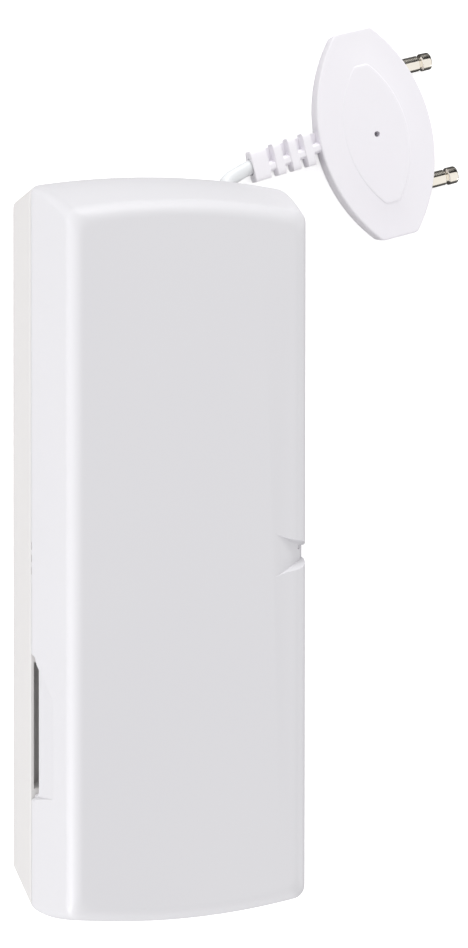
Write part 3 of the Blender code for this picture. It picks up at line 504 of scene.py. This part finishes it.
# The lens outline: two long arcs that stop at short flat ends, read at even steps of length,
# then averaged with its neighbours so that the corners are round
def lensOutline(length, width, endWidth, count, rounding):
    drop = (width - endWidth) / 2
    radius = ((length / 2) ** 2 + drop ** 2) / (2 * drop)
    y = np.linspace(-length / 2, length / 2, 400)
    x = width / 2 - radius + np.sqrt(radius ** 2 - y ** 2)
    loop = np.concatenate((np.stack((x, y), 1), np.stack((-x[::-1], y[::-1]), 1)))
    loop = np.concatenate((loop, loop[:1]))
    run = np.concatenate(([0.0], np.cumsum(np.hypot(*np.diff(loop, axis=0).T))))
    fine = np.linspace(0, run[-1], 2401)[:-1]
    points = np.stack([np.interp(fine, run, loop[:, axis]) for axis in (0, 1)], 1)
    span = max(1, round(rounding / (run[-1] / 2400)))
    points = sum(np.roll(points, shift, axis=0) for shift in range(-span, span + 1))
    return (points / (2 * span + 1))[::2400 // count]


# Points given along and across the probe, turned and moved to where it lies
def onProbe(points, spec=probeShape):
    turn = math.radians(spec["turn"])
    x, y, z = np.moveaxis(points, -1, 0)
    return np.stack((spec["centre"][0] + x * math.cos(turn) - y * math.sin(turn),
                     spec["centre"][1] + x * math.sin(turn) + y * math.cos(turn), z), axis=-1)


# One ring of the plate or of its pad, drawn in evenly towards the middle
def lensRing(spec, size, inset, height):
    length, width, endWidth = size
    ring = lensOutline(length - 2 * inset, width - 2 * inset, endWidth * (1 - 2 * inset / width),
                       spec["ringCount"], spec["cornerRound"])
    return np.concatenate((ring, np.full((len(ring), 1), float(height))), axis=1)


# Rings of one outline from the underside up over the edge, in to the pad and up its soft step,
# which fades towards the lead's side
def makePlate(spec):
    plate = [spec[key] for key in ("length", "width", "endWidth")]
    pad = [spec[key] for key in ("padLength", "padWidth", "padEndWidth")]
    face = spec["thickness"] - spec["padRise"]
    rings = []
    for height, inset in zip(*quarterRound(0.0, spec["underEdge"], 4, upwards=False)):
        rings.insert(0, lensRing(spec, plate, inset + spec["draft"], height))
    for height, inset in zip(*quarterRound(face, spec["edge"], spec["edgeSteps"])):
        rings.append(lensRing(spec, plate, inset, height))
    rings.append(lensRing(spec, plate, spec["edge"] + 0.3, face))
    for share in np.linspace(0, 1, 7):
        rise = spec["padRise"] * (1 - math.cos(math.pi * share)) / 2
        rings.append(lensRing(spec, pad, spec["padBlend"] * (share - 0.5), face + rise))
    rings.append(lensRing(spec, pad, spec["padBlend"] + 0.2, spec["thickness"]))
    rings = np.array(rings)
    across = rings[-8:, :, 0] / spec["padWidth"]     # the last eight rings are the pad's
    rings[-8:, :, 2] = face + (rings[-8:, :, 2] - face) * (1 + spec["padTilt"] * (across - 0.5))
    return skin("probeBody", onProbe(rings), probePlastic)


reliefShape = {
    "start": -15.85, "collar": 2.05, "ringLength": 1.12, "pitch": 1.92, "rings": 3,
    "shift": -0.25, "lean": 0.06, "half": 1.85, "lastHalf": 2.0, "halfThickness": 1.16,
    "coreHalf": 0.62, "coreHalfThickness": 0.62, "ribHalf": 0.40, "ribHalfThickness": 0.9,
    "ringHalfThickness": 1.05, "web": (-0.3, 1.62, 0.3, 0.9), "ribDrop": (0.75, 0.1),
    "end": -5.8, "step": 0.06, "soft": 0.07, "around": 96, "endRound": 0.2,
    "socketRadius": 0.97, "socketDepth": 1.2,
}


# How far a round-cornered rectangle reaches from its centre in each direction
def rectangleReach(angle, halfHeight, halfThickness, power):
    return (np.abs(np.cos(angle) / halfHeight) ** power
            + np.abs(np.sin(angle) / halfThickness) ** power) ** (-1 / power)


# The ladder: a section carried along the lead. Where there is a ring it is a round-cornered
# rectangle; between rings it is the wider of a round core and a narrow rib. The core and rib
# start below the middle of the rings and rise to it at the plate. A web closes the windows
# above them
def makeRelief(spec, probe):
    along = np.arange(spec["start"], spec["end"], spec["step"])
    drop = np.interp(along, (spec["start"], spec["end"]), spec["ribDrop"])[:, None]
    angle = np.linspace(0, 2 * math.pi, spec["around"] + 1)[:-1]
    core = rectangleReach(angle, spec["coreHalf"], spec["coreHalfThickness"], 2.4)
    rib = rectangleReach(angle, spec["ribHalf"], spec["ribHalfThickness"], 8)
    window = np.maximum(core, rib)
    starts = [spec["start"]]
    lengths = [spec["collar"]]
    halves = [(spec["half"], spec["halfThickness"])]
    gap = spec["pitch"] - spec["ringLength"]
    for number in range(spec["rings"]):
        starts.append(spec["start"] + spec["collar"] + gap + number * spec["pitch"])
        lengths.append(spec["ringLength"])
        halves.append((spec["half"] + (spec["lastHalf"] - spec["half"]) * (number + 1)
                       / spec["rings"], spec["ringHalfThickness"]))
    reach = np.broadcast_to(window, (len(along), len(angle))).copy()
    for start, length, (half, halfThickness) in zip(starts, lengths, halves):
        ring = rectangleReach(angle, half + np.sign(np.cos(angle)) * drop, halfThickness, 6)
        rise = np.clip((along - start) / spec["soft"], 0, 1)
        fall = np.clip((start + length - along) / spec["soft"], 0, 1)
        share = np.sin(np.minimum(rise, fall) * math.pi / 2)[:, None]
        reach = np.maximum(reach, window + (ring - window) * share)
    half = spec["half"] - spec["endRound"] + np.sign(np.cos(angle)) * drop[0]
    reach[0] = rectangleReach(angle, half, spec["halfThickness"] - spec["endRound"], 6)
    middle = probe["thickness"] / 2
    points = np.stack((np.broadcast_to(along[:, None], reach.shape),
                       (spec["shift"] + spec["lean"] * (along - spec["start"]))[:, None] - drop
                       + reach * np.cos(angle),
                       middle + reach * np.sin(angle)), axis=-1)
    points[..., 2] = np.clip(points[..., 2], 0.0, probe["thickness"])
    relief = skin("relief", onProbe(points), probePlastic)
    near, far, low, high = spec["web"]
    sections = []
    for x in (spec["start"] + 0.5, spec["end"]):
        y = spec["shift"] + spec["lean"] * (x - spec["start"])
        sections.append([(x, y + near, low), (x, y + far, low), (x, y + far, high),
                         (x, y + near, high)])
    applyBooleans(relief, [skin("web", onProbe(np.array(sections)))], "UNION")
    return relief


# A round bar along the probe's own X
def roundBar(name, start, stop, y, z, radius, around=32):
    angle = np.linspace(0, 2 * math.pi, around + 1)[:-1]
    ring = np.stack((0 * angle, y + radius * np.cos(angle), z + radius * np.sin(angle)), -1)
    return skin(name, onProbe(np.stack((ring + (start, 0, 0), ring + (stop, 0, 0)))))


# How far the plate's long edge lies from its middle line at a place along it
def probeEdge(y, spec=probeShape):
    drop = (spec["width"] - spec["endWidth"]) / 2
    radius = ((spec["length"] / 2) ** 2 + drop ** 2) / (2 * drop)
    return spec["width"] / 2 - radius + math.sqrt(radius ** 2 - y ** 2)


# The plate and its relief as one piece, with the vent, the pins' seats and bores and the
# lead's socket cut into it
def makeProbe(spec):
    plate = makePlate(spec)
    relief = makeRelief(reliefShape, spec)
    applyBooleans(plate, [relief], "UNION")
    middle = spec["thickness"] / 2
    angle = np.linspace(0, 2 * math.pi, 29)[:-1]
    rings = [np.stack((radius * np.cos(angle), radius * np.sin(angle), 0 * angle + height), -1)
             for height, radius in ((spec["thickness"] - spec["ventDepth"], spec["ventRadius"]),
                                    (spec["thickness"] + 0.5, spec["ventRadius"]))]
    cutters = [skin("vent", onProbe(np.array(rings)))]
    edge = probeEdge(spec["pinSpacing"] / 2)
    for side in (1, -1):
        y = side * spec["pinSpacing"] / 2
        cutters.append(roundBar("seat", edge - pinShape["seatDepth"], edge + 4, y, middle,
                                pinShape["radius"] + pinShape["seatGap"]))
        cutters.append(roundBar("bore", edge - pinShape["boreDepth"], edge, y, middle,
                                pinShape["shankRadius"] + pinShape["boreGap"]))
    start = reliefShape["start"]
    cutters.append(roundBar("socket", start - 1, start + reliefShape["socketDepth"],
                            reliefShape["shift"], middle, reliefShape["socketRadius"]))
    applyBooleans(plate, cutters)
    shadeAgain(plate, 32)
    return plate


pinShape = {
    "tip": 3.4, "head": 1.25, "headRadius": 1.04, "radius": 0.93, "grooveRadius": 0.74,
    "groove": 0.36, "tipEdge": 0.26, "smallEdge": 0.06, "shankRadius": 0.6, "shank": 3.0,
    "sink": 0.15, "seatDepth": 0.3, "seatGap": 0.12, "boreDepth": 3.6, "boreGap": 0.15,
    "around": 64,
}

probeBody = makeProbe(probeShape)
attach(probeBody, "root")
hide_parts("probe_body")
print("probe made")


# A turned pin: its profile, a radius at each place along, is carried once round
def makePin(name, spec, probe, side):
    edge = probeEdge(probe["pinSpacing"] / 2)
    tip = edge + spec["tip"]
    neck = tip - spec["head"]
    shoulder = edge - spec["sink"]
    quarter = np.linspace(0, math.pi / 2, 7)
    tipX = tip - spec["tipEdge"] * (1 - np.cos(quarter))
    tipR = spec["headRadius"] - spec["tipEdge"] * (1 - np.sin(quarter))
    small = spec["smallEdge"]
    places = np.concatenate(([tip], tipX, [neck + small, neck, neck - spec["groove"] * 0.35,
                                           neck - spec["groove"] * 0.65, neck - spec["groove"],
                                           neck - spec["groove"] - small, shoulder, shoulder,
                                           shoulder - spec["shank"]]))
    radii = np.concatenate(([0.3], tipR, [spec["headRadius"], spec["headRadius"] - small,
                                          spec["grooveRadius"], spec["grooveRadius"],
                                          spec["radius"] - small, spec["radius"],
                                          spec["radius"], spec["shankRadius"],
                                          spec["shankRadius"]]))
    angle = np.linspace(0, 2 * math.pi, spec["around"] + 1)[:-1]
    y = side * probe["pinSpacing"] / 2 + radii[:, None] * np.cos(angle)
    z = probe["thickness"] / 2 + radii[:, None] * np.sin(angle)
    points = np.stack((np.broadcast_to(places[:, None], y.shape), y, z), axis=-1)
    return skin(name, onProbe(points), nickelPlate, 30)


for number, side in enumerate((1, -1)):
    pin = makePin("probePin" + str(number + 1), pinShape, probeShape, side)
    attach(pin, "root")
    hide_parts("probe_pin_" + str(number + 1))
print("pins made")

leadShape = {
    "radius": 0.85, "spacing": 0.5, "around": 32, "exit": (10.1, 38.8, 2.95),
}


# Evenly spaced points on a smooth curve through the route (Catmull-Rom in each span)
def smoothLine(route, spacing):
    route = np.array(route, float)
    ends = np.concatenate(([2 * route[0] - route[1]], route, [2 * route[-1] - route[-2]]))
    t = np.linspace(0, 1, 25)[:-1][:, None]
    spans = []
    for before, start, stop, after in zip(ends, ends[1:], ends[2:], ends[3:]):
        spans.append(0.5 * (2 * start + (stop - before) * t
                            + (2 * before - 5 * start + 4 * stop - after) * t ** 2
                            + (3 * start - before - 3 * stop + after) * t ** 3))
    fine = np.concatenate(spans + [route[-1:]])
    run = np.concatenate(([0.0], np.cumsum(np.linalg.norm(np.diff(fine, axis=0), axis=1))))
    even = np.linspace(0, run[-1], round(run[-1] / spacing) + 1)
    return np.stack([np.interp(even, run, fine[:, axis]) for axis in range(3)], 1), run[-1]


# A round section carried along the line, kept square to it
def makeTube(name, line, radius, around, material):
    along = np.gradient(line, axis=0)
    along /= np.linalg.norm(along, axis=1)[:, None]
    side = np.cross(along, (0.0, 0.0, 1.0))
    side /= np.linalg.norm(side, axis=1)[:, None]
    up = np.cross(side, along)
    angle = np.linspace(0, 2 * math.pi, around + 1)[:-1]
    rings = (line[:, None] + radius * (np.cos(angle)[:, None] * side[:, None]
                                       + np.sin(angle)[:, None] * up[:, None]))
    return skin(name, rings, material)


leadRoute = [                     # mm, the solid's route, with the bend outside as pictured
    (6.85, 12.568, 7.97), (6.85, 14.616, 7.97), (7.9225, 22.296, 7.78), (9.25, 31.0, 7.59),
    (10.1, 36.9993, 2.95), (10.1, 38.7993, 2.95), (9.8, 39.8, 2.6), (10.2, 40.8, 2.1),
    (13.05, 42.4, 1.35), (14.21, 42.7, 1.35),
]
leadLine, leadLength = smoothLine(leadRoute, leadShape["spacing"])
lead = makeTube("probeLead", leadLine, leadShape["radius"], leadShape["around"], leadPlastic)
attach(lead, "root")
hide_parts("lead")
print("lead made", round(leadLength, 1), "mm")

# A plain pale floor, seen white by the camera but for the object's shadow, and soft light.
# Reflections see the floor dark grey: a painted dark reflection on the pins and along the case's
# edges
stageLook = {
    # the floor's colour in reflections is a painted dark reflection, not the floor's own colour
    "floorColour": "#fafafa", "paintedReflectionColour": "#404040", "floorSize": 3.0,
    "floorGlow": 0.40, "worldStrength": 0.84,
    "keyPlace": (-0.05, 0.98, 0.34), "keySize": 0.5, "keyPower": 5.1,
    "sidePlace": (-1.00, -0.70, 0.13), "sideSize": 0.24, "sidePower": 8.0,
    "fillPlace": (1.00, -0.60, 0.12), "fillSize": 0.4, "fillPower": 1.5,
    "flagPlace": (0.03, 0.42, 0.24), "flagSize": (1.6, 0.44), "flagTurn": 100,
}


def makeFloor(look):
    material = bpy.data.materials.new("floorWithPaintedReflection")
    material.use_nodes = True
    tree = material.node_tree
    tree.nodes.clear()
    rays = addNode(tree, "ShaderNodeLightPath")
    glow = addNode(tree, "ShaderNodeMath", {1: look["floorGlow"]},
                   {0: rays.outputs["Is Camera Ray"]}, operation="MULTIPLY")
    # glossy rays get the darker colour: painted dark reflections on the pins and the plastics'
    # edges
    colour = addNode(tree, "ShaderNodeMix", {6: linearColour(look["floorColour"]),
                                             7: linearColour(look["paintedReflectionColour"])},
                     {0: rays.outputs["Is Glossy Ray"]}, data_type="RGBA").outputs[2]
    shader = addNode(tree, "ShaderNodeBsdfPrincipled",
                     {"Roughness": 0.8, "Emission Color": (1, 1, 1, 1)},
                     {"Base Color": colour, "Emission Strength": glow.outputs[0]})
    addNode(tree, "ShaderNodeOutputMaterial", links={"Surface": shader.outputs[0]})
    half = look["floorSize"] / 2
    corners = np.array([(-half, -half, 0), (half, -half, 0), (half, half, 0), (-half, half, 0)])
    floor = makePiece("floor", corners - (0, 0, 0.00005), [(0, 1, 2, 3)], material)


def makeWorld(look):
    world = bpy.data.worlds.new("softRoom")
    world.use_nodes = True
    scene.world = world
    tree = world.node_tree
    tree.nodes.clear()
    rays = addNode(tree, "ShaderNodeLightPath").outputs
    seen = addNode(tree, "ShaderNodeMath", links={0: rays["Is Camera Ray"],
                                                  1: rays["Is Glossy Ray"]},
                   operation="MAXIMUM")
    seen = addNode(tree, "ShaderNodeMath", links={0: seen.outputs[0],
                                                  1: rays["Is Transmission Ray"]},
                   operation="MAXIMUM")
    strength = addNode(tree, "ShaderNodeMapRange", {"To Min": look["worldStrength"],
                                                    "To Max": 1.0},
                       {"Value": seen.outputs[0]})
    light = addNode(tree, "ShaderNodeBackground", {"Color": (1, 1, 1, 1)},
                    {"Strength": strength.outputs["Result"]})
    addNode(tree, "ShaderNodeOutputWorld", links={"Surface": light.outputs[0]})


# A round soft lamp turned towards the case
def makeLamp(name, look):
    data = bpy.data.lights.new(name, "AREA")
    data.shape = "DISK"
    data.size = look[name + "Size"]
    data.energy = look[name + "Power"]
    lamp = bpy.data.objects.new(name, data)
    lamp.location = look[name + "Place"]
    lamp.rotation_euler = (-Vector(look[name + "Place"])).to_track_quat("-Z", "Y").to_euler()
    scene.collection.objects.link(lamp)


# A black card behind the object that only reflections see, as set up for small metal parts
def makeFlag(look):
    material = bpy.data.materials.new("blackCard")
    material.use_nodes = True
    shader = material.node_tree.nodes["Principled BSDF"]
    shader.inputs["Base Color"].default_value = linearColour("#080808")
    shader.inputs["Roughness"].default_value = 1.0
    wide, high = look["flagSize"]
    turn = Matrix.Rotation(math.radians(look["flagTurn"]), 3, "X")
    corners = [turn @ Vector((x * wide / 2, y * high / 2, 0)) + Vector(look["flagPlace"])
               for x, y in ((-1, -1), (1, -1), (1, 1), (-1, 1))]
    flag = makePiece("flag", np.array(corners), [(0, 1, 2, 3)], material)
    flag.visible_camera = False
    flag.visible_diffuse = False
    flag.visible_shadow = False


makeFloor(stageLook)
makeWorld(stageLook)
for name in ("key", "side", "fill"):
    makeLamp(name, stageLook)
makeFlag(stageLook)
scene.view_settings.view_transform = "Standard"
print("stage set")
